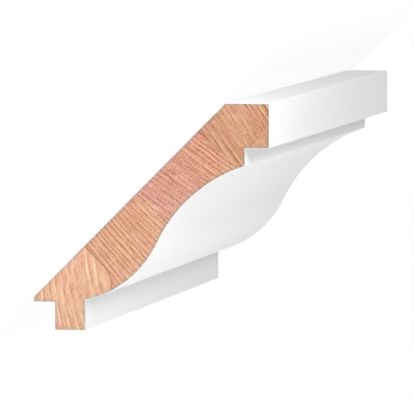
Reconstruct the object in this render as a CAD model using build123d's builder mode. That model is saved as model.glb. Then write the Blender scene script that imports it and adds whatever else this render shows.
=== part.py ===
from build123d import *
import os
from math import cos, radians, sin, sqrt

# Moulded fascia board for the eaves: one planed length of softwood, worked to a crown section.
# It lies on its back with the moulded face up and its length along Y.
# Units are millimetres and degrees, and the origin is under the middle of its box.

# Driving dimensions of the length and of the plank that it is worked from
board_length = 300.0
plank_width = 140.0           # along the back's direction, top corner to tongue corner

# Driving dimensions of the head: the flat top, the upright fascia and the step under it
top_width = 19.8
fascia_height = 19.8
step_depth = 10.9
step_drop = 7.8

# Driving dimensions of the heel: the pointed toe, the rebate behind the tongue and the tongue
toe_edge = 2.2                # blunt edge that keeps the toe from splitting
toe_width = 9.6
tongue_thickness = 14.0
rebate_drop = 12.4            # how far the tongue hangs below the rebate's shoulder
ovolo_rise = 1.2              # where the ovolo meets the tongue, above the rebate's shoulder

# Driving dimensions of the crown curve: a hollow cove that runs on into a round ovolo
cove_radius = 66.6
cove_start_angle = 17.8       # slope of the cove where it leaves the step
ovolo_end_angle = 12.3        # slope of the ovolo where it meets the tongue

# Sharp corners are eased by sanding before the primer coat
arris_radius = 0.6

# The section is drawn as the board hangs at the eaves: u points out from the wall, v points up,
# and zero is the back of the toe. The back rises at 45 degrees, so the plank's width runs along u + v.
back_rise = (plank_width * sqrt(2) - top_width + toe_width - toe_edge - rebate_drop) / 2
shoulder_level = -toe_edge
tongue_level = shoulder_level - rebate_drop
fascia_out = back_rise + top_width
fascia_foot_level = back_rise - fascia_height
step_out = fascia_out - step_depth
tongue_out = toe_width + tongue_thickness

toe_back = Vector(0, 0)
toe_front = Vector(0, shoulder_level)
rebate_corner = Vector(toe_width, shoulder_level)
tongue_back = Vector(toe_width, tongue_level)
tongue_front = Vector(tongue_out, tongue_level)
tongue_root = Vector(tongue_out, shoulder_level + ovolo_rise)
step_foot = Vector(step_out, fascia_foot_level - step_drop)
step_corner = Vector(step_out, fascia_foot_level)
fascia_foot = Vector(fascia_out, fascia_foot_level)
top_front = Vector(fascia_out, back_rise)
top_back = Vector(back_rise, back_rise)

# The cove's centre lies square to its slope at the step, the ovolo's square to its slope at the tongue.
# The two arcs share a tangent, so their centres are as far apart as the sum of the radii,
# and that gives the ovolo's radius.
cove_centre = step_foot + Vector(sin(radians(cove_start_angle)), -cos(radians(cove_start_angle))) * cove_radius
ovolo_inward = Vector(-sin(radians(ovolo_end_angle)), cos(radians(ovolo_end_angle)))
cove_to_root = tongue_root - cove_centre
ovolo_radius = (cove_to_root.length**2 - cove_radius**2) / (2 * (cove_radius - cove_to_root.dot(ovolo_inward)))
ovolo_centre = tongue_root + ovolo_inward * ovolo_radius
inflection = cove_centre + (ovolo_centre - cove_centre).normalized() * cove_radius

# The section's plane: u runs up and to the left, v down and to the left, so the back lies level.
# Its zero is set off to the right by half the box, which reaches from the tongue's corner to the top's.
middle_sum = (top_front.X + top_front.Y + tongue_back.X + tongue_back.Y) / 2
section_plane = Plane(origin=(middle_sum / sqrt(2), 0, 0), x_dir=(-1, 0, 1), z_dir=(0, -1, 0))

outer_corners = [
    toe_back, toe_front, tongue_back, tongue_front, step_foot, fascia_foot, top_front, top_back,
]

with BuildPart() as cornice_moulding:
    with BuildSketch(section_plane) as section:
        with BuildLine() as outline:
            heel = Polyline(toe_back, toe_front, rebate_corner, tongue_back, tongue_front, tongue_root)
            ovolo = RadiusArc(tongue_root, inflection, -ovolo_radius)
            cove = RadiusArc(inflection, step_foot, cove_radius)
            head = Polyline(step_foot, step_corner, fascia_foot, top_front, top_back, toe_back)
        make_face()
        fillet([section.vertices().sort_by_distance(corner)[0] for corner in outer_corners], arris_radius)
    extrude(amount=board_length / 2, both=True)

cornice_moulding.part.label = "cornice_moulding"

os.makedirs("parts", exist_ok=True)
export_step(cornice_moulding.part, "parts/cornice_moulding.step")

box = cornice_moulding.part.bounding_box()
print("ovolo radius", round(ovolo_radius, 2))
print("box", [round(value, 2) for value in (*box.min, *box.max)])
print("volume in litres", round(cornice_moulding.part.volume / 1e6, 4))
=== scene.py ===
import bpy
import numpy as np
from math import cos, pi, radians, sin, sqrt
from mathutils import Matrix, Vector


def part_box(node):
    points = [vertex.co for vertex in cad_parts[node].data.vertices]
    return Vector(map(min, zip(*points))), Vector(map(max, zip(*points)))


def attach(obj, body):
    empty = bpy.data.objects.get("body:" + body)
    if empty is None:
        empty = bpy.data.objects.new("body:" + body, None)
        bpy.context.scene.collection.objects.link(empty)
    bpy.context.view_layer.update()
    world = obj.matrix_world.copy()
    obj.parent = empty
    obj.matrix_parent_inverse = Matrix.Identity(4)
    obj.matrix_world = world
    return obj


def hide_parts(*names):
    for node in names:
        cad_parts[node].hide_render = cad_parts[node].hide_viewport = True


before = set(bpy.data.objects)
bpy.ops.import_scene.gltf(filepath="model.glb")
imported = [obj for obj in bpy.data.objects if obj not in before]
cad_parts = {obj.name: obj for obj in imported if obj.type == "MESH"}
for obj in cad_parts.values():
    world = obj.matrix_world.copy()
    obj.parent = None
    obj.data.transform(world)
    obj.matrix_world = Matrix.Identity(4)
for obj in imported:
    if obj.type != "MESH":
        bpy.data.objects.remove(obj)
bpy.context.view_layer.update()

# A moulded and primed fascia board for the eaves, lying on its back with the crown face up.
# The scene is in metres. The section is worked out in millimetres as the board hangs at the eaves,
# with u out from the wall and v up, and is then laid on its back.
boardNode = "cornice_moulding"
boardLow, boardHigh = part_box(boardNode)
millimetre = 0.001

# Section sizes in millimetres, and how finely the outline is cut up
section = {
    "plankWidth": 140.0,
    "topWidth": 19.8,
    "fasciaHeight": 19.8,
    "stepDepth": 10.9,
    "stepDrop": 7.8,
    "toeEdge": 2.2,
    "toeWidth": 9.6,
    "tongueThickness": 14.0,
    "rebateDrop": 12.4,
    "ovoloRise": 1.2,
    "coveRadius": 66.6,
    "coveStart": 17.8,      # degrees, slope at the step
    "ovoloEnd": 12.3,       # degrees, slope at the tongue
    "easedRadius": 0.6,     # sanded outer corners
    "filledRadius": 0.25,   # primer gathered in the inner corners
    "cornerCells": 6,
    "edgeCell": 0.12,       # narrow cell beside each corner, so that the faces shade flat
}


def sectionCorners(s):
    # Corners in loop order: up the tongue's back, round the toe, up the back, over the head, down the face.
    # The back rises at 45 degrees, so from the tongue's back to the top's front u + v grows by the plank's
    # width times root 2
    rise = (s["plankWidth"] * sqrt(2) - s["topWidth"] + s["toeWidth"] - s["toeEdge"] - s["rebateDrop"]) / 2
    out = rise + s["topWidth"]
    shoulder = -s["toeEdge"]
    tongueEnd = shoulder - s["rebateDrop"]
    fasciaEnd = rise - s["fasciaHeight"]
    stepOut = out - s["stepDepth"]
    tongueOut = s["toeWidth"] + s["tongueThickness"]
    return np.array([
        (s["toeWidth"], tongueEnd),
        (s["toeWidth"], shoulder),
        (0.0, shoulder),
        (0.0, 0.0),
        (rise, rise),
        (out, rise),
        (out, fasciaEnd),
        (stepOut, fasciaEnd),
        (stepOut, fasciaEnd - s["stepDrop"]),
        (tongueOut, shoulder + s["ovoloRise"]),
        (tongueOut, tongueEnd),
    ])


# Places of the corners in that order
tongueBack, rebateCorner, toeFront, toeBack, topBack, topFront = range(6)
fasciaFoot, stepCorner, stepFoot, tongueRoot, tongueFront = range(6, 11)
innerCorners = (rebateCorner, stepCorner, tongueRoot)
backRuns = (tongueBack, rebateCorner, toeFront, toeBack)
# Cells along the run that follows each corner. The sawn ends are grids, so the back's runs and corners have
# as many cells as those from the top's front down to the tongue, and the top as many as the tongue's end
runCells = {
    tongueBack: 14,
    rebateCorner: 10,
    toeFront: 3,
    toeBack: 126,
    topBack: 20,
    topFront: 20,
    fasciaFoot: 11,
    stepCorner: 8,
    stepFoot: 94,
    tongueRoot: 14,
    tongueFront: 20,
}


def crownArcs(corners, s):
    # The cove's centre lies square to the slope at the step, the ovolo's square to the slope at the tongue.
    # One shared tangent puts the centres as far apart as the radii add up to, which gives the ovolo's radius
    start, end = radians(s["coveStart"]), radians(s["ovoloEnd"])
    coveCentre = corners[stepFoot] + s["coveRadius"] * np.array([sin(start), -cos(start)])
    inward = np.array([-sin(end), cos(end)])
    reach = corners[tongueRoot] - coveCentre
    ovoloRadius = (reach @ reach - s["coveRadius"] ** 2) / (2 * (s["coveRadius"] - reach @ inward))
    ovoloCentre = corners[tongueRoot] + inward * ovoloRadius
    across = ovoloCentre - coveCentre
    join = np.arctan2(across[1], across[0])
    return coveCentre, ovoloCentre, ovoloRadius, join


def crownPoints(distance, corners, s):
    # Points at these distances from the step: a centre plus its radius at an angle. Distance over radius is
    # added to the angle round the cove and taken from it round the ovolo
    coveCentre, ovoloCentre, ovoloRadius, join = crownArcs(corners, s)
    coveFrom = pi / 2 + radians(s["coveStart"])
    coveLength = (join - coveFrom) * s["coveRadius"]
    onCove = distance < coveLength
    roundCove = coveFrom + distance / s["coveRadius"]
    roundOvolo = join - pi - (distance - coveLength) / ovoloRadius
    angle = np.where(onCove, roundCove, roundOvolo)
    radius = np.where(onCove, s["coveRadius"], ovoloRadius)
    centre = np.where(onCove[:, None], coveCentre, ovoloCentre)
    return centre + radius[:, None] * np.stack([np.cos(angle), np.sin(angle)], 1)


def crownLength(corners, s):
    # Both arcs' lengths added up, each its angle times its radius
    _, _, ovoloRadius, join = crownArcs(corners, s)
    cove = (join - pi / 2 - radians(s["coveStart"])) * s["coveRadius"]
    ovolo = (join - pi / 2 - radians(s["ovoloEnd"])) * ovoloRadius
    return cove + ovolo


def runPositions(length, cells, s):
    # Even steps along a run, with one narrow step at each end
    edge = s["edgeCell"]
    return np.concatenate([[0.0], np.linspace(edge, length - edge, cells - 1), [length]])


def outlineLoop(s):
    # The section as one closed loop. Each corner is an arc about a centre, from one run's normal to the next
    # one's: sin((1 - t) turn) of the first plus sin(t turn) of the second, over sin(turn), times the radius.
    # Each run is a straight line or the crown curve between two such arcs
    corners = sectionCorners(s)
    count = len(corners)
    straight = np.roll(corners, -1, 0) - corners
    lengths = np.hypot(*straight.T)
    leaving = straight / lengths[:, None]
    arriving = np.roll(leaving, 1, 0)
    leaving[stepFoot] = -cos(radians(s["coveStart"])), -sin(radians(s["coveStart"]))
    arriving[tongueRoot] = -cos(radians(s["ovoloEnd"])), -sin(radians(s["ovoloEnd"]))
    lengths[stepFoot] = crownLength(corners, s)
    inner = np.isin(np.arange(count), innerCorners)
    radius = np.where(inner, s["filledRadius"], s["easedRadius"])
    side = np.where(inner, -1.0, 1.0)
    turn = np.arccos(np.clip((leaving * arriving).sum(1), -1, 1))
    trim = radius * np.tan(turn / 2)
    normalIn = np.stack([-arriving[:, 1], arriving[:, 0]], 1)
    normalOut = np.stack([-leaving[:, 1], leaving[:, 0]], 1)
    centre = corners - arriving * trim[:, None] - normalIn * (side * radius)[:, None]
    t = np.linspace(0, 1, s["cornerCells"] + 1)[:, None, None]
    bend = turn[None, :, None]
    swing = np.sin((1 - t) * bend) * normalIn + np.sin(t * bend) * normalOut
    arcs = centre + swing / np.sin(bend) * (side * radius)[None, :, None]
    pieces = []
    for i in range(count):
        after = (i + 1) % count
        along = runPositions(lengths[i] - trim[i] - trim[after], runCells[i], s)[1:-1] + trim[i]
        if i == stepFoot:
            run = crownPoints(along, corners, s)
        else:
            run = corners[i] + leaving[i] * along[:, None]
        pieces += [arcs[:, i], run]
    return np.roll(np.concatenate(pieces), -s["cornerCells"], 0)


def lieOnBack(points, s):
    # Hanging millimetres to lying metres: x is the middle less (u + v) over root 2 and z is (u - v) over
    # root 2, where the middle is halfway between the top's front and the tongue's back
    corners = sectionCorners(s)
    middle = (corners[topFront].sum() + corners[tongueBack].sum()) / 2 / sqrt(2)
    x = middle - points.sum(-1) / sqrt(2)
    z = (points[..., 0] - points[..., 1]) / sqrt(2)
    return np.stack([x, z], -1) * millimetre


def inset(loop, depth):
    # The loop moved inwards by depth, mitred: along the sum of two edge normals over one plus their product
    edge = np.roll(loop, -1, 0) - loop
    normal = np.stack([-edge[:, 1], edge[:, 0]], 1) / np.hypot(*edge.T)[:, None]
    before = np.roll(normal, 1, 0)
    mitre = (normal + before) / (1 + (normal * before).sum(1, keepdims=True))
    return loop - mitre * depth


outline = lieOnBack(outlineLoop(section), section)
print("outline of", len(outline), "points")

# What the wood and its coat share, with sizes in millimetres
planed = {
    "primerFilm": 0.14,         # from the coat's face to the wood's
    "waver": 0.03,              # slow unevenness of the planed faces
    "waverRound": 20.0,         # girth over which it changes
    "waverLong": 60.0,          # length over which it changes
    "waves": 9,
    "waveRates": (0.6, 1.6),    # slowest and quickest wave
    "seed": 11,
    "sharpAngle": 32.0,         # degrees, edges that turn more are shaded sharp
}


def slowWaves(p, q, count, seed):
    # A smooth field between 0 and 1: a half plus half the mean of some sine waves of p and q, each with a
    # random direction, phase and rate
    draw = np.random.default_rng(seed)
    angle, phase = draw.uniform(0, 2 * pi, (2, count))
    rate = draw.uniform(*planed["waveRates"], count)
    total = sum(np.sin(r * (p * cos(a) + q * sin(a)) + f) for a, f, r in zip(angle, phase, rate))
    return 0.5 + total / (2 * count)


def endGrid(loop, backCells, sideCells):
    # A patch between four edges, with s up the back and t across to the face: each pair of opposite edges is
    # blended in a straight line, both blends are added, and the corners' own blend is taken off once
    faceStart = backCells + sideCells
    footStart = faceStart + backCells
    back = loop[:backCells + 1]
    top = loop[backCells:faceStart + 1]
    face = loop[faceStart:footStart + 1][::-1]
    foot = np.concatenate([loop[footStart:], loop[:1]])[::-1]
    s = np.linspace(0, 1, backCells + 1)[:, None, None]
    t = np.linspace(0, 1, sideCells + 1)[None, :, None]
    ruled = (1 - t) * back[:, None] + t * face[:, None] + (1 - s) * foot[None] + s * top[None]
    shared = (1 - s) * ((1 - t) * back[0] + t * face[0]) + s * ((1 - t) * back[-1] + t * face[-1])
    return ruled - shared


def unfolded(patch, rounds):
    # Winslow smoothing, which keeps cells from folding over at the inner corners. With u and v the grid's
    # directions, each point becomes the mean of its neighbours along u, weighted by the squared v slope, and
    # along v, weighted by the squared u slope, less the slopes' product times the cross difference
    patch = patch.copy()
    for _ in range(rounds):
        after, before = patch[2:, 1:-1], patch[:-2, 1:-1]
        over, under = patch[1:-1, 2:], patch[1:-1, :-2]
        alongU, alongV = (after - before) / 2, (over - under) / 2
        weightU = (alongV ** 2).sum(-1, keepdims=True)
        weightV = (alongU ** 2).sum(-1, keepdims=True)
        product = (alongU * alongV).sum(-1, keepdims=True)
        crossed = (patch[2:, 2:] - patch[2:, :-2] - patch[:-2, 2:] + patch[:-2, :-2]) / 2
        straight = weightU * (after + before) + weightV * (over + under)
        patch[1:-1, 1:-1] = (straight - product * crossed) / (2 * (weightU + weightV))
    return patch


def withRim(number, ring, backCells, sideCells):
    # A grid of point numbers whose rim takes the numbers of the loop's points, in the loop's order
    faceStart = backCells + sideCells
    footStart = faceStart + backCells
    whole = np.concatenate([ring, ring[:1]])
    number[:, 0] = whole[:backCells + 1]
    number[-1, :] = whole[backCells:faceStart + 1]
    number[:, -1] = whole[faceStart:footStart + 1][::-1]
    number[0, :] = whole[footStart:][::-1]
    return number


def gridQuads(number):
    # Four corner numbers for each cell of a grid of point numbers
    return np.stack([number[:-1, :-1], number[:-1, 1:], number[1:, 1:], number[1:, :-1]], -1).reshape(-1, 4)


def bandQuads(first, second):
    # Cells between two closed loops of point numbers
    return np.stack([first, np.roll(first, -1), np.roll(second, -1), second], 1)


def tubeQuads(rings, count, offset):
    # Cells of a tube: a grid of ring by place round the ring, closed by its own first column
    number = offset + np.arange(rings * count).reshape(rings, count)
    return gridQuads(np.concatenate([number, number[:, :1]], 1))


def girthOf(loop):
    # Distance round the loop to each of its points: the steps before it added up
    steps = np.hypot(*(np.roll(loop, -1, 0) - loop).T)
    return np.concatenate([[0.0], np.cumsum(steps)[:-1]])


def planedRings(loop, y, c):
    # The loop repeated at each y, and moved inwards by the waver times a slow wave of girth and length
    girth = girthOf(loop)[None] / (c["waverRound"] * millimetre)
    length = y[:, None] / (c["waverLong"] * millimetre)
    depth = slowWaves(girth, length, c["waves"], c["seed"]) * c["waver"] * millimetre
    inward = inset(loop, 1.0) - loop
    return loop[None] + inward[None] * depth[..., None]


def carried(rings, y):
    # Rings of (x, z) stood up at their y, which is one number for each ring or one for each point
    levels = np.broadcast_to(y.reshape(len(rings), -1), rings.shape[:2])
    return np.stack([rings[..., 0], levels, rings[..., 1]], -1).reshape(-1, 3)


def makePiece(name, points, quads, attributeName, values):
    # The parts of each list joined into one mesh. Its volume is a sixth of the sum, over the faces, of the
    # first corner times the cross products of the second with the third and of the third with the fourth
    points, quads, values = (np.concatenate(part) for part in (points, quads, values))
    mesh = bpy.data.meshes.new(name)
    mesh.from_pydata(points.tolist(), [], quads.tolist())
    mesh.polygons.foreach_set("use_smooth", np.ones(len(quads), bool))
    mesh.attributes.new(attributeName, "FLOAT", "POINT").data.foreach_set("value", values)
    mesh.update()
    mesh.set_sharp_from_angle(angle=radians(planed["sharpAngle"]))
    piece = bpy.data.objects.new(name, mesh)
    bpy.context.collection.objects.link(piece)
    first, second, third, fourth = points[quads].transpose(1, 0, 2)
    volume = (first * (np.cross(second, third) + np.cross(third, fourth))).sum() / 6
    print(name, "has", len(quads), "faces and encloses", round(volume * 1000, 4), "litres")
    return piece


# The wood under the coat, with sizes in millimetres
core = {
    "stations": 7,          # even rings along the length
    "endStrip": 2.0,        # from each end to the first of them
    "sawBevel": 0.05,       # broken edge of the saw cut
    "smoothing": 300,       # rounds that even out the cells of the sawn faces
}


def buildWood(c):
    # The outline less the primer's film, carried along the length, with a sawn face filled in at each end
    low, high = boardLow[1], boardHigh[1]
    bevel = c["sawBevel"] * millimetre
    strip = c["endStrip"] * millimetre
    loop = inset(outline, planed["primerFilm"] * millimetre)
    between = np.linspace(low + strip, high - strip, c["stations"])
    y = np.concatenate([[low, low + bevel], between, [high - bevel, high]])
    rings = planedRings(loop, y, planed)
    for end in (0, -1):
        rings[end] = inset(rings[end], bevel)
    backCells = sum(runCells[i] for i in backRuns) + 3 * section["cornerCells"]
    sideCells = runCells[topBack] + 2 * section["cornerCells"]
    points = [carried(rings, y)]
    quads = [tubeQuads(len(y), len(loop), 0)]
    gaps = [np.zeros(len(y) * len(loop))]
    for end, level, ringStart in ((0, low, 0), (-1, high, (len(y) - 1) * len(loop))):
        patch = unfolded(endGrid(rings[end], backCells, sideCells), c["smoothing"])
        # The patch's rim lies on the last ring, point for point, so the ring's own numbers stand in for it
        inside = patch[1:-1, 1:-1]
        flat = inside.reshape(-1, 2)
        offset = sum(len(part) for part in points)
        number = np.zeros(patch.shape[:2], int)
        number[1:-1, 1:-1] = offset + np.arange(len(flat)).reshape(inside.shape[:2])
        face = gridQuads(withRim(number, ringStart + np.arange(len(loop)), backCells, sideCells))
        points.append(np.stack([flat[:, 0], np.full(len(flat), level), flat[:, 1]], -1))
        quads.append(face if end == 0 else face[:, ::-1])
        # Distance from each point of the sawn face to the nearest point of its rim
        gaps.append(np.sqrt(((flat[:, None] - rings[end][None]) ** 2).sum(-1)).min(1))
    return makePiece("woodCore", points, quads, "edgeGap", gaps)


# The coat of primer, with sizes in millimetres
coat = {
    "overlap": 0.02,            # how far its inner side lies in the wood
    "stations": 112,            # even rings along the length
    "endStrip": 2.0,            # from each end to the first of them
    "lastStrip": 0.7,           # one more ring, so that the ragged edge bends only a narrow strip
    "frayed": 0.06,             # how ragged the coat is at the saw cut
    "frayPitch": (0.9, 4.0),    # quick and slow change round the girth
    "fraySeeds": (12, 11),      # near and far end
    "chip": 0.45,               # deepest nicks
    "chipPitch": (1.6, 30.0),
    "chipSeeds": (16, 15),
    "chipRarity": 0.62,         # how high a wave must rise to leave a nick
    "endWaves": 12,
    "arrisReach": 0.3,          # how far from a corner the coat is thinnest
    "arrisFade": 0.35,
}


def raggedEnd(girth, c, fraySeed, chipSeed):
    # How far the coat stops short of the saw cut: waves round the girth times the fray, plus the chip's
    # depth times the share by which other waves rise above the rarity
    quickFray, slowFray = (girth / pitch for pitch in c["frayPitch"])
    fray = slowWaves(quickFray, slowFray, c["endWaves"], fraySeed) * c["frayed"]
    quickChip, slowChip = (girth / pitch for pitch in c["chipPitch"])
    peaks = slowWaves(quickChip, slowChip, c["endWaves"], chipSeed) - c["chipRarity"]
    return fray + np.clip(peaks, 0, 1) / (1 - c["chipRarity"]) * c["chip"]


def buildCoat(c):
    # The outline carried along the length, with ragged ends and its own inner side. Its thinness is one at
    # each outer corner, and past the reach it falls as e to the minus distance over the fade
    low, high = boardLow[1], boardHigh[1]
    strip = c["endStrip"] * millimetre
    last = c["lastStrip"] * millimetre
    between = np.linspace(low + strip, high - strip, c["stations"])
    y = np.concatenate([[low, low + last], between, [high - last, high]])
    rings = planedRings(outline, y, planed)
    levels = np.repeat(y[:, None], len(outline), 1)
    girth = girthOf(outline) / millimetre
    for end, side, fraySeed, chipSeed in zip((0, -1), (1, -1), c["fraySeeds"], c["chipSeeds"]):
        levels[end] += side * raggedEnd(girth, c, fraySeed, chipSeed) * millimetre
    lining = inset(outline, (planed["primerFilm"] + c["overlap"]) * millimetre)
    innerRings = np.repeat(lining[None], 2, 0)
    outer = tubeQuads(len(y), len(outline), 0)
    offset = len(y) * len(outline)
    ring = np.arange(len(outline))
    inside = tubeQuads(2, len(outline), offset)[:, ::-1]
    nearBand = bandQuads(ring, offset + ring)[:, ::-1]
    farBand = bandQuads(offset - len(outline) + ring, offset + len(outline) + ring)
    outerCorners = np.delete(lieOnBack(sectionCorners(section), section), innerCorners, 0)
    reach = np.sqrt(((outline[:, None] - outerCorners[None]) ** 2).sum(-1)).min(1) / millimetre
    thinness = np.exp(-np.clip(reach - c["arrisReach"], 0, None) / c["arrisFade"])
    points = [carried(rings, levels), carried(innerRings, levels[[0, -1]])]
    quads = [outer, inside, nearBand, farBand]
    return makePiece("primerCoat", points, quads, "arris", [np.tile(thinness, len(y) + 2)])


woodCore = buildWood(core)
primerCoat = buildCoat(coat)
for piece, slotName in ((woodCore, "end_grain"), (primerCoat, "white_primer")):
    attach(piece, "root")
    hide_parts(boardNode)


def addNode(tree, kind, **settings):
    node = tree.nodes.new("ShaderNode" + kind)
    for name, value in settings.items():
        setattr(node, name, value)
    return node


def feed(tree, socket, value):
    # An output is linked to the socket, and a number or a colour is written into it
    if isinstance(value, bpy.types.NodeSocket):
        tree.links.new(value, socket)
    else:
        socket.default_value = value


def maths(tree, operation, *values, clamp=False):
    node = addNode(tree, "Math", operation=operation, use_clamp=clamp)
    for socket, value in zip(node.inputs, values):
        feed(tree, socket, value)
    return node.outputs[0]


def vectorOf(tree, x, y, z):
    node = addNode(tree, "CombineXYZ")
    for socket, value in zip(node.inputs, (x, y, z)):
        feed(tree, socket, value)
    return node.outputs[0]


def partsOf(tree, vector):
    node = addNode(tree, "SeparateXYZ")
    feed(tree, node.inputs[0], vector)
    return node.outputs


def stretch(tree, vector, x, y, z):
    node = addNode(tree, "VectorMath", operation="MULTIPLY")
    feed(tree, node.inputs[0], vector)
    node.inputs[1].default_value = (x, y, z)
    return node.outputs[0]


def millimetresOf(tree, vector):
    return stretch(tree, vector, 1 / millimetre, 1 / millimetre, 1 / millimetre)


def noise(tree, vector, scale=1.0, detail=2.0, roughness=0.5, seed=None):
    node = addNode(tree, "TexNoise")
    if seed is not None:
        node.noise_dimensions = "4D"
        node.inputs["W"].default_value = seed
    for name, value in (("Vector", vector), ("Scale", scale), ("Detail", detail), ("Roughness", roughness)):
        feed(tree, node.inputs[name], value)
    return node.outputs[0]


def lineNoise(tree, place, scale, detail=1.0):
    node = addNode(tree, "TexNoise", noise_dimensions="1D")
    for name, value in (("W", place), ("Scale", scale), ("Detail", detail)):
        feed(tree, node.inputs[name], value)
    return node.outputs[0]


def fade(tree, value, low, high, atLow=0.0, atHigh=1.0):
    # Smooth step from atLow to atHigh while the value goes from low to high
    node = addNode(tree, "MapRange", interpolation_type="SMOOTHSTEP")
    names = ("Value", "From Min", "From Max", "To Min", "To Max")
    for name, number in zip(names, (value, low, high, atLow, atHigh)):
        feed(tree, node.inputs[name], number)
    return node.outputs[0]


def centred(tree, value, amount):
    # A noise value around a half, turned into a swing of this amount around zero
    return maths(tree, "MULTIPLY", maths(tree, "SUBTRACT", value, 0.5), 2 * amount)


def ramp(tree, value, stops):
    # Straight steps through (place, level) pairs in rising order, where a level is a number or a colour
    node = addNode(tree, "ValToRGB")
    feed(tree, node.inputs[0], value)
    elements = node.color_ramp.elements
    elements[0].position = stops[0][0]
    elements[1].position = stops[-1][0]
    for place, _ in stops[1:-1]:
        elements.new(place)
    for element, (_, level) in zip(elements, stops):
        element.color = (*level, 1) if isinstance(level, tuple) else (level, level, level, 1)
    return node.outputs[0]


def mixNumber(tree, share, first, second):
    node = addNode(tree, "Mix", data_type="FLOAT")
    for i, value in ((0, share), (2, first), (3, second)):
        feed(tree, node.inputs[i], value)
    return node.outputs[0]


def mixColour(tree, share, first, second, how="MIX"):
    node = addNode(tree, "Mix", data_type="RGBA", blend_type=how)
    feed(tree, node.inputs[0], share)
    for i, value in ((6, first), (7, second)):
        feed(tree, node.inputs[i], (*value, 1) if isinstance(value, tuple) else value)
    return node.outputs[2]


def newGroup(name, takes, gives):
    # Takes are numbers with their usual value, or vectors where that is None, and gives are all numbers
    tree = bpy.data.node_groups.new(name, "ShaderNodeTree")
    for label, usual in takes.items():
        kind = "NodeSocketVector" if usual is None else "NodeSocketFloat"
        socket = tree.interface.new_socket(label, in_out="INPUT", socket_type=kind)
        if usual is not None:
            socket.default_value = usual
    for label in gives:
        tree.interface.new_socket(label, in_out="OUTPUT", socket_type="NodeSocketFloat")
    takenNode = tree.nodes.new("NodeGroupInput")
    givenNode = tree.nodes.new("NodeGroupOutput")
    return tree, takenNode.outputs, givenNode.inputs


def useGroup(tree, group, **values):
    node = addNode(tree, "Group", node_tree=group)
    for label, value in values.items():
        feed(tree, node.inputs[label], value)
    return node.outputs


# The plank is glued up from four strips side by side. Distances run in millimetres along the back from the
# toe and in depth from the back, and each strip's rings follow
# ((along - start) / (1 + fan depth) + lean depth + bend depth²) / pitch
strips = {
    "rings": {
        "toe": {"start": -0.81, "fan": 0.0, "lean": 0.88, "bend": -0.008, "pitch": 4.05},
        "ovolo": {"start": 59.4, "fan": 0.00356, "lean": 0.0, "bend": 0.0, "pitch": 1.9},
        "waist": {"start": 0.0, "fan": 0.0, "lean": -0.16, "bend": 0.0, "pitch": 2.2},
        "head": {"start": 30.0, "fan": -0.002, "lean": 0.0, "bend": 0.0, "pitch": 2.5},
    },
    "joints": (32.5, 67.0, 106.0),
    "toeJointBend": 0.0504,         # the first joint swings towards the toe below this depth
    "toeJointDepth": 12.6,
    "drift": 0.55,                  # how far the rings stray from their formula
    "driftPatch": (17, 160, 13),    # over which distances, across, along the board and in depth
    "jitter": 0.13,
    "jitterPatch": (3.4, 70, 3.4),
    "unevenness": 0.6,              # rings, how irregular the gaps are
    "toeUnevenness": 0.2,
    "gapRate": 0.43,                # how soon wide gaps change to narrow ones, by rings
    "stripApart": 57.0,             # rings between the strips' random numbers
    # Tone over one ring, from pale early wood to a dark late line with a pale line right after it
    "profile": (
        (0, 0.66), (0.14, 0.60), (0.42, 0.52), (0.58, 0.44),
        (0.70, 0.06), (0.78, 0.08), (0.90, 0.98), (1, 0.66),
    ),
    # The toe's wide rings have a pale line that rises slowly and ends sharply in a darker one
    "toeProfile": (
        (0, 0.52), (0.14, 0.46), (0.28, 0.56), (0.37, 0.74), (0.45, 0.74), (0.53, 0.50),
        (0.58, 0.34), (0.66, 0.40), (0.80, 0.46), (0.86, 0.40), (1, 0.52),
    ),
    "lateTone": (0.42, 0.12),       # tones between which early wood turns to late wood
    "toeSeam": (0.12, 0.5),         # half widths of the glue lines, dark core and soft edge
    "headSeam": (0.1, 1.2),
    "headSeamShare": 0.3,
}


def ringGroup():
    # The formula above: a whole number is the start of a ring, and what is over tells the place within it
    takes = {"Along": 0.0, "Depth": 0.0, "Start": 0.0, "Fan": 0.0, "Lean": 0.0, "Bend": 0.0, "Pitch": 2.0}
    tree, taken, given = newGroup("stripRings", takes, ["Ring"])
    spread = maths(tree, "MULTIPLY_ADD", taken["Fan"], taken["Depth"], 1.0)
    across = maths(tree, "DIVIDE", maths(tree, "SUBTRACT", taken["Along"], taken["Start"]), spread)
    leant = maths(tree, "MULTIPLY_ADD", taken["Lean"], taken["Depth"], across)
    squared = maths(tree, "MULTIPLY", taken["Depth"], taken["Depth"])
    bent = maths(tree, "MULTIPLY_ADD", taken["Bend"], squared, leant)
    feed(tree, given["Ring"], maths(tree, "DIVIDE", bent, taken["Pitch"]))
    return tree


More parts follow.
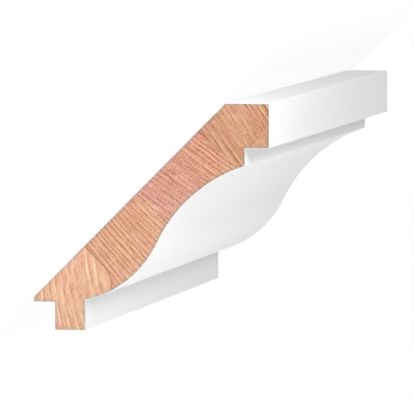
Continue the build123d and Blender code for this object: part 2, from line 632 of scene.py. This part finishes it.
def grainGroup(c):
    # The growth rings of the glued plank at any point of the wood, for the sawn ends and for the grain that
    # shows through the primer
    rings = ringGroup()
    gives = ["Tone", "Late", "Vary", "Across", "Along", "Depth", "Toe", "Head", "Seam"]
    tree, taken, given = newGroup("gluedGrain", {"Position": None}, gives)
    toeBackX = float(lieOnBack(sectionCorners(section)[toeBack], section)[0]) / millimetre
    place = millimetresOf(tree, taken["Position"])
    x, _, depth = partsOf(tree, place)
    along = maths(tree, "SUBTRACT", toeBackX, x)
    slow = noise(tree, stretch(tree, place, *(1 / size for size in c["driftPatch"])), detail=1.0)
    quick = noise(tree, stretch(tree, place, *(1 / size for size in c["jitterPatch"])), detail=2.0)
    stray = maths(tree, "ADD", centred(tree, slow, c["drift"]), centred(tree, quick, c["jitter"]))
    strayed = maths(tree, "ADD", along, stray)
    # Which strip a point is in
    firstJoint, secondJoint, thirdJoint = c["joints"]
    below = maths(tree, "MAXIMUM", maths(tree, "SUBTRACT", depth, c["toeJointDepth"]), 0.0)
    swung = maths(tree, "MULTIPLY_ADD", maths(tree, "MULTIPLY", below, below), c["toeJointBend"], along)
    inToe = maths(tree, "LESS_THAN", swung, firstJoint)
    inUpper = maths(tree, "GREATER_THAN", along, secondJoint)
    inHead = maths(tree, "GREATER_THAN", along, thirdJoint)
    number = {}
    for name, sizes in c["rings"].items():
        values = {key.capitalize(): value for key, value in sizes.items()}
        number[name] = useGroup(tree, rings, Along=strayed, Depth=depth, **values)["Ring"]
    ring = mixNumber(tree, inUpper, number["ovolo"], number["waist"])
    ring = mixNumber(tree, inHead, ring, number["head"])
    ring = mixNumber(tree, inToe, ring, number["toe"])
    pitch = mixNumber(tree, inToe, c["rings"]["waist"]["pitch"], c["rings"]["toe"]["pitch"])
    # Uneven gaps, and a random number for each ring. The strips are numbered 0 at the ovolo, 1 at the waist,
    # 2 at the head and 3 at the toe, which keeps their random numbers apart
    strip = maths(tree, "ADD", maths(tree, "ADD", inUpper, inHead), maths(tree, "MULTIPLY", inToe, 3.0))
    seeded = maths(tree, "MULTIPLY_ADD", strip, c["stripApart"], ring)
    unevenness = mixNumber(tree, inToe, c["unevenness"], c["toeUnevenness"])
    wander = maths(tree, "MULTIPLY", centred(tree, lineNoise(tree, seeded, c["gapRate"]), 1.0), unevenness)
    uneven = maths(tree, "ADD", ring, wander)
    counted = maths(tree, "MULTIPLY_ADD", strip, c["stripApart"], maths(tree, "FLOOR", uneven))
    white = addNode(tree, "TexWhiteNoise", noise_dimensions="1D")
    feed(tree, white.inputs["W"], counted)
    part = maths(tree, "FRACT", uneven)
    tone = mixNumber(tree, inToe, ramp(tree, part, c["profile"]), ramp(tree, part, c["toeProfile"]))
    toeGap = maths(tree, "ABSOLUTE", maths(tree, "SUBTRACT", swung, firstJoint))
    headGap = maths(tree, "ABSOLUTE", maths(tree, "SUBTRACT", strayed, thirdJoint))
    toeSeam = fade(tree, toeGap, *c["toeSeam"], 1.0, 0.0)
    headSeam = fade(tree, headGap, *c["headSeam"], c["headSeamShare"], 0.0)
    outputs = {
        "Tone": tone,
        "Late": fade(tree, tone, *c["lateTone"]),
        "Vary": white.outputs["Value"],
        "Across": maths(tree, "MULTIPLY", ring, pitch),
        "Along": along,
        "Depth": depth,
        "Toe": inToe,
        "Head": inHead,
        "Seam": maths(tree, "MAXIMUM", toeSeam, headSeam),
    }
    for label, value in outputs.items():
        feed(tree, given[label], value)
    return tree


# The fibre's usual sizes, in the units of the position that is fed in
fibres = {
    "width": 0.6,
    "length": 7.0,
    "speckleScale": 1.7,
    "roughness": 0.6,
}


def streakGroup(c):
    # Fine wood fibre: noise drawn out along the second coordinate, and a finer speckle
    takes = {"Position": None, "Width": c["width"], "Length": c["length"]}
    tree, taken, given = newGroup("fibreStreaks", takes, ["Streak", "Speckle"])
    x, y, z = partsOf(tree, taken["Position"])
    across = maths(tree, "DIVIDE", x, taken["Width"])
    along = maths(tree, "DIVIDE", y, taken["Length"])
    other = maths(tree, "DIVIDE", z, taken["Width"])
    drawnOut = noise(tree, vectorOf(tree, across, along, other), roughness=c["roughness"])
    feed(tree, given["Streak"], drawnOut)
    speckle = noise(tree, taken["Position"], scale=c["speckleScale"], roughness=c["roughness"])
    feed(tree, given["Speckle"], speckle)
    return tree


grain = grainGroup(strips)
streaks = streakGroup(fibres)


def objectPosition(tree):
    return addNode(tree, "TexCoord").outputs["Object"]


def newMaterial(name):
    material = bpy.data.materials.new(name)
    material.use_nodes = True
    tree = material.node_tree
    tree.nodes.clear()
    surface = addNode(tree, "BsdfPrincipled")
    output = addNode(tree, "OutputMaterial")
    feed(tree, output.inputs[0], surface.outputs[0])
    return material, tree, surface


def addRelief(tree, surface, relief):
    # Relief in millimetres, as a bump
    bump = addNode(tree, "Bump")
    bump.inputs["Distance"].default_value = millimetre
    bump.inputs["Strength"].default_value = 1.0
    feed(tree, bump.inputs["Height"], relief)
    feed(tree, surface.inputs["Normal"], bump.outputs[0])


# Colours are linear. Each strip has its own wood, and the waist goes from pinkish to a browner orange
wood = {
    "toe": (0.87, 0.512, 0.345),
    "ovolo": (0.738, 0.402, 0.257),
    "waist": (0.695, 0.353, 0.272),
    "waistEnd": (0.645, 0.326, 0.216),
    "head": (0.593, 0.311, 0.195),
    "waistBlend": (6, 2),           # millimetres before and after the second joint, where the waist sets in
    "pink": (1.02, 0.98, 1.04),     # tints of soft patches
    "yellow": (0.985, 1.02, 0.945),
    "patchScale": 105.0,
    "patchEdge": (0.3, 0.7),
    "patchSeed": 17.81,
    "darkLine": (0.72, 0.50, 0.42),
    "paleLine": (1.23, 1.50, 1.64),
    "palest": 0.97,
    "contrast": 1.2,
    # How bold the rings are, by millimetres along the plank
    "boldness": (
        (4, 0.85), (16, 0.9), (30, 0.95), (36, 1.15), (62, 1.15), (70, 0.66), (90, 0.6),
        (101, 2.1), (107, 2.0), (111, 0.5), (119, 0.3), (127.5, 0.35), (131, 2.4),
    ),
    "ringChoice": (0.6, 1.3),       # boldness of the faintest and the boldest ring
    # Rings fade and return along their length, by a noise at these rates across the rings and in depth
    "brokenRate": (0.5, 0.18, 1),
    "brokenEdge": (0.35, 0.65),
    "brokenLevels": (0.45, 1.4),
    # How speckled the wood is between the rings, by millimetres along the plank
    "grit": ((4, 0.35), (30, 0.35), (36, 0.8), (68, 0.8), (72, 0.9), (104, 1.1), (112, 0.5), (128, 0.7)),
    "fibreSize": {"Width": 0.7, "Length": 7.0},
    "fibreShare": 0.65,
    "raySize": {"Width": 0.5, "Length": 5.0},
    "rayShare": 0.4,
    "rayPlane": 3.0,                # a slice of the noise away from the fibre's
    "cloudScale": 110.0,
    "cloudShare": 0.19,
    "varyShare": 0.05,
    "seam": (0.42, 0.175, 0.085),
    "seamShare": 0.75,
    "rim": (0.76, 0.94, 1.06),      # tint that greys and darkens the sawn face along its edge
    "rimReach": (0.1, 1.8),         # millimetres from the edge
    "rimUnevenness": 1.2,
    "roughness": 0.78,
    "lateRoughness": -0.08,
    "speckleRoughness": 0.06,
    "gloss": 0.2,
    # Relief in millimetres
    "lateRelief": 0.02,
    "speckleRelief": 0.09,
    "arcRelief": 0.05,
    "sawCentre": (-0.05, 0.16),     # metres, x and z of the blade's axle
    "sawRate": 900.0,
}


def alongPlank(tree, along, stops):
    # A level that changes with the distance along the plank
    width = section["plankWidth"]
    shares = [(place / width, level) for place, level in stops]
    return ramp(tree, maths(tree, "DIVIDE", along, width), shares)


def sawArcs(tree, position, c):
    # Line noise over the distance from the blade's axle: the root of x squared plus z squared from there
    x, _, z = partsOf(tree, position)
    acrossX = maths(tree, "SUBTRACT", x, c["sawCentre"][0])
    acrossZ = maths(tree, "SUBTRACT", z, c["sawCentre"][1])
    squaredX = maths(tree, "MULTIPLY", acrossX, acrossX)
    radius = maths(tree, "SQRT", maths(tree, "MULTIPLY_ADD", acrossZ, acrossZ, squaredX))
    return lineNoise(tree, radius, c["sawRate"], detail=2.0)


def stripColour(tree, rings, c):
    # Each strip's own wood, one laid over the other from the ovolo outwards
    _, secondJoint, thirdJoint = strips["joints"]
    before, after = c["waistBlend"]
    waist = mixColour(tree, fade(tree, rings["Along"], secondJoint, thirdJoint), c["waist"], c["waistEnd"])
    inWaist = fade(tree, rings["Along"], secondJoint - before, secondJoint + after)
    colour = mixColour(tree, inWaist, c["ovolo"], waist)
    colour = mixColour(tree, rings["Head"], colour, c["head"])
    return mixColour(tree, rings["Toe"], colour, c["toe"])


def woodEnd(c):
    material, tree, surface = newMaterial("endGrain")
    position = objectPosition(tree)
    rings = useGroup(tree, grain, Position=position)
    fibreAt = vectorOf(tree, rings["Across"], rings["Depth"], 0.0)
    rayAt = vectorOf(tree, rings["Depth"], rings["Across"], c["rayPlane"])
    fibre = useGroup(tree, streaks, Position=fibreAt, **c["fibreSize"])
    rays = useGroup(tree, streaks, Position=rayAt, **c["raySize"])
    # Ring tone, stronger in some rings than in others and broken here and there
    strength = fade(tree, rings["Vary"], 0.0, 1.0, *c["ringChoice"])
    slowNoise = noise(tree, stretch(tree, fibreAt, *c["brokenRate"]), detail=1.0)
    broken = fade(tree, slowNoise, *c["brokenEdge"], *c["brokenLevels"])
    boldness = alongPlank(tree, rings["Along"], c["boldness"])
    strength = maths(tree, "MULTIPLY", maths(tree, "MULTIPLY", strength, boldness), broken)
    ringSwing = maths(tree, "MULTIPLY", centred(tree, rings["Tone"], 0.5), strength)
    # Speckle, fibre and rays, and a little cloudiness
    grit = alongPlank(tree, rings["Along"], c["grit"])
    speckle = maths(tree, "MULTIPLY", centred(tree, fibre["Speckle"], 1.0), grit)
    fine = maths(tree, "MULTIPLY_ADD", centred(tree, fibre["Streak"], 1.0), c["fibreShare"], speckle)
    fine = maths(tree, "ADD", fine, centred(tree, rays["Streak"], c["rayShare"]))
    clouds = centred(tree, noise(tree, position, scale=c["cloudScale"]), c["cloudShare"])
    broad = maths(tree, "ADD", clouds, centred(tree, rings["Vary"], c["varyShare"]))
    level = maths(tree, "ADD", maths(tree, "ADD", ringSwing, fine), broad)
    level = maths(tree, "MULTIPLY_ADD", level, c["contrast"], 0.5, clamp=True)
    shade = ramp(tree, level, ((0, c["darkLine"]), (0.5, (1.0, 1.0, 1.0)), (1, c["paleLine"])))
    # The strips' colours under soft patches of tint and that shade, then the glue lines and the greyed rim
    patches = noise(tree, position, scale=c["patchScale"], detail=3.0, roughness=0.6, seed=c["patchSeed"])
    tint = mixColour(tree, fade(tree, patches, *c["patchEdge"]), c["pink"], c["yellow"])
    colour = mixColour(tree, 1.0, stripColour(tree, rings, c), tint, "MULTIPLY")
    colour = mixColour(tree, 1.0, colour, shade, "MULTIPLY")
    colour = mixColour(tree, 1.0, colour, (c["palest"],) * 3, "DARKEN")
    colour = mixColour(tree, maths(tree, "MULTIPLY", rings["Seam"], c["seamShare"]), colour, c["seam"])
    gap = addNode(tree, "Attribute", attribute_name="edgeGap").outputs["Fac"]
    rimStray = centred(tree, fibre["Streak"], c["rimUnevenness"] * millimetre)
    rimLow, rimHigh = (reach * millimetre for reach in c["rimReach"])
    rim = fade(tree, maths(tree, "SUBTRACT", gap, rimStray), rimLow, rimHigh, 1.0, 0.0)
    colour = mixColour(tree, rim, colour, c["rim"], "MULTIPLY")
    feed(tree, surface.inputs["Base Color"], colour)
    surface.inputs["Specular IOR Level"].default_value = c["gloss"]
    rough = maths(tree, "MULTIPLY_ADD", rings["Late"], c["lateRoughness"], c["roughness"])
    rough = maths(tree, "ADD", rough, centred(tree, fibre["Speckle"], c["speckleRoughness"]))
    feed(tree, surface.inputs["Roughness"], rough)
    # Hard late wood stands up a little, the fibre ends are rough, and the saw leaves arcs
    relief = maths(tree, "MULTIPLY", rings["Late"], c["lateRelief"])
    relief = maths(tree, "MULTIPLY_ADD", fibre["Speckle"], c["speckleRelief"], relief)
    relief = maths(tree, "MULTIPLY_ADD", sawArcs(tree, position, c), c["arcRelief"], relief)
    addRelief(tree, surface, relief)
    return material


primer = {
    "base": (0.915, 0.917, 0.915),
    "thin": (0.86, 0.83, 0.78),     # where the coat is thin over an eased corner
    "thinShare": 0.35,
    "wornRate": (400, 90, 400),     # how quickly thin spots come and go, by metres
    "wornEdge": (0.42, 0.62),
    "mottle": 0.012,
    "patchRate": (60, 18, 60),
    "fibreSize": {"Width": 0.55, "Length": 22.0},
    "sprayScale": 1300.0,
    "roughness": 0.62,
    "patchRoughness": 0.05,
    "fibreRoughness": 0.03,
    "gloss": 0.3,                   # specular level, a matte coat
    # Relief in millimetres
    "lateRelief": 0.012,            # how far the late wood stands up under the coat
    "fibreRelief": 0.02,
    "sprayRelief": 0.008,
}


def whitePrimer(c):
    material, tree, surface = newMaterial("whitePrimer")
    position = objectPosition(tree)
    rings = useGroup(tree, grain, Position=position)
    fibre = useGroup(tree, streaks, Position=millimetresOf(tree, position), **c["fibreSize"])
    patches = noise(tree, stretch(tree, position, *c["patchRate"]), detail=3.0)
    # The white, thin over the eased corners here and there, and faintly mottled
    arris = addNode(tree, "Attribute", attribute_name="arris").outputs["Fac"]
    spots = fade(tree, noise(tree, stretch(tree, position, *c["wornRate"])), *c["wornEdge"])
    worn = maths(tree, "MULTIPLY", maths(tree, "MULTIPLY", arris, spots), c["thinShare"])
    colour = mixColour(tree, worn, c["base"], c["thin"])
    fibreMottle = centred(tree, fibre["Streak"], c["mottle"] / 2)
    mottle = maths(tree, "ADD", centred(tree, patches, c["mottle"]), fibreMottle)
    toned = maths(tree, "ADD", mottle, 1.0)
    tonedColour = addNode(tree, "CombineColor")
    for i in range(3):
        feed(tree, tonedColour.inputs[i], toned)
    colour = mixColour(tree, 1.0, colour, tonedColour.outputs[0], "MULTIPLY")
    feed(tree, surface.inputs["Base Color"], colour)
    surface.inputs["Specular IOR Level"].default_value = c["gloss"]
    rough = maths(tree, "ADD", c["roughness"], centred(tree, patches, c["patchRoughness"]))
    rough = maths(tree, "MULTIPLY_ADD", fibre["Streak"], c["fibreRoughness"], rough)
    feed(tree, surface.inputs["Roughness"], rough)
    # The grain shows through faintly, under the sprayed texture
    spray = noise(tree, position, scale=c["sprayScale"])
    relief = maths(tree, "MULTIPLY", rings["Late"], c["lateRelief"])
    relief = maths(tree, "MULTIPLY_ADD", fibre["Streak"], c["fibreRelief"], relief)
    relief = maths(tree, "MULTIPLY_ADD", spray, c["sprayRelief"], relief)
    addRelief(tree, surface, relief)
    return material


primerCoat.data.materials.append(whitePrimer(primer))
woodCore.data.materials.append(woodEnd(wood))
print("materials made")

# The photo's view: nearly square on to the near end, from a little to the right of it and above as the board
# hangs, which for the lying board is low and rolled a good way over
view = {
    "aimOut": 78.45,        # millimetres in the hanging section
    "aimUp": 40.81,
    "swing": 11.375,        # degrees
    "lift": 3.899,
    "tilt": -0.098,
    "distance": 3.231,
    "lens": 637.5,
    "clip": (0.1, 200),
}


def placeCamera(c):
    # From the aim the camera stands back by the distance: sin(swing) cos(lift) of it outwards,
    # cos(swing) cos(lift) of it off the near end and sin(lift) of it up, as the board hangs. The tilt then
    # turns it about its line of sight
    out = Vector((-1, 0, 1)).normalized()
    up = Vector((-1, 0, -1)).normalized()
    along = Vector((0, 1, 0))
    aimX, aimZ = lieOnBack(np.array([c["aimOut"], c["aimUp"]]), section)
    swing, lift, tilt = (radians(c[k]) for k in ("swing", "lift", "tilt"))
    back = out * sin(swing) * cos(lift) - along * cos(swing) * cos(lift) + up * sin(lift)
    right = (-back).cross(up).normalized()
    over = right.cross(-back)
    tilted = right * cos(tilt) + over * sin(tilt)
    upright = over * cos(tilt) - right * sin(tilt)
    data = bpy.data.cameras.new("photoView")
    data.lens = c["lens"]
    data.clip_start, data.clip_end = c["clip"]
    camera = bpy.data.objects.new("photoView", data)
    place = Vector((aimX, boardLow[1], aimZ)) + back * c["distance"]
    camera.matrix_world = Matrix.Translation(place) @ Matrix((tilted, upright, back)).transposed().to_4x4()
    bpy.context.collection.objects.link(camera)
    bpy.context.scene.camera = camera


placeCamera(view)
print("camera placed")

# The camera sees the floor as white. Beside the board a share of the floor's real shading comes through, as
# the board's faint shadow, and it fades out within the reach, in metres
studio = {
    "floorHalf": 60.0,
    "floorColour": (0.9, 0.9, 0.9),
    "floorRoughness": 0.9,
    "shadowShare": 0.12,
    "shadowReach": 0.04,
    "ambient": 0.1,
    "lamps": {
        "rightSoftbox": {"at": (0.9, -0.6, 1.0), "target": (0, -0.1, 0), "size": 0.8, "watts": 7.9},
        "leftSoftbox": {"at": (-1.2, 0, 0.35), "target": (0, 0, 0), "size": 0.6, "watts": 5.2},
        "farSoftbox": {"at": (0.1, 1.0, 0.6), "target": (0, 0.1, 0), "size": 0.5, "watts": 2.05},
        "nearPanel": {"at": (-0.35, -0.45, 0.45), "target": (0, -0.15, 0), "size": 0.35, "watts": 1.08},
        "rightPanel": {"at": (0.35, -0.15, 0.3), "target": (0, -0.15, 0), "size": 0.2, "watts": 0.66},
        "groundPanel": {"at": (-0.28, -0.38, 0.05), "target": (0, -0.15, 0.02), "size": 0.1, "watts": 0.6},
    },
}


def seenDirectly(tree):
    # One for rays from the camera and for those that mirror or pass through glass, zero for diffuse ones
    path = addNode(tree, "LightPath")
    first = maths(tree, "MAXIMUM", path.outputs["Is Camera Ray"], path.outputs["Is Glossy Ray"])
    return maths(tree, "MAXIMUM", first, path.outputs["Is Transmission Ray"])


def plainFloor(c):
    half = c["floorHalf"]
    corners = [(-half, -half, 0), (half, -half, 0), (half, half, 0), (-half, half, 0)]
    mesh = bpy.data.meshes.new("floor")
    mesh.from_pydata(corners, [], [(0, 1, 2, 3)])
    floor = bpy.data.objects.new("floor", mesh)
    bpy.context.collection.objects.link(floor)
    material, tree, surface = newMaterial("paleFloor")
    surface.inputs["Base Color"].default_value = (*c["floorColour"], 1)
    surface.inputs["Roughness"].default_value = c["floorRoughness"]
    white = addNode(tree, "Emission")
    white.inputs["Strength"].default_value = 1.0
    # Distance from the board's rectangle: the root of the squared distances beyond its edges in x and y
    x, y, _ = partsOf(tree, objectPosition(tree))
    squares = []
    for place, edge in ((x, boardHigh[0]), (y, boardHigh[1])):
        beyond = maths(tree, "SUBTRACT", maths(tree, "ABSOLUTE", place), edge)
        beyond = maths(tree, "MAXIMUM", beyond, 0.0)
        squares.append(maths(tree, "MULTIPLY", beyond, beyond))
    away = maths(tree, "SQRT", maths(tree, "ADD", *squares))
    whiteShare = fade(tree, away, 0.0, c["shadowReach"], 1 - c["shadowShare"], 1.0)
    blend = addNode(tree, "MixShader")
    feed(tree, blend.inputs[0], maths(tree, "MULTIPLY", whiteShare, seenDirectly(tree)))
    feed(tree, blend.inputs[1], surface.outputs[0])
    feed(tree, blend.inputs[2], white.outputs[0])
    feed(tree, tree.nodes["Material Output"].inputs[0], blend.outputs[0])
    mesh.materials.append(material)


def plainWorld(c):
    # White where it is seen directly, and a faint light on the board
    world = bpy.data.worlds.new("plainStudio")
    world.use_nodes = True
    tree = world.node_tree
    background = tree.nodes["Background"]
    background.inputs["Color"].default_value = (1, 1, 1, 1)
    feed(tree, background.inputs["Strength"], fade(tree, seenDirectly(tree), 0.0, 1.0, c["ambient"], 1.0))
    bpy.context.scene.world = world


def softLamp(name, at, target, size, watts):
    data = bpy.data.lights.new(name, "AREA")
    data.shape = "SQUARE"
    data.size = size
    data.energy = watts
    lamp = bpy.data.objects.new(name, data)
    lamp.rotation_euler = (Vector(target) - Vector(at)).to_track_quat("-Z", "Y").to_euler()
    lamp.location = at
    lamp.visible_camera = False
    bpy.context.collection.objects.link(lamp)


plainFloor(studio)
plainWorld(studio)
for lampName, values in studio["lamps"].items():
    softLamp(lampName, **values)
bpy.context.scene.view_settings.view_transform = "Standard"
print("studio lit")

bpy.context.view_layer.update()
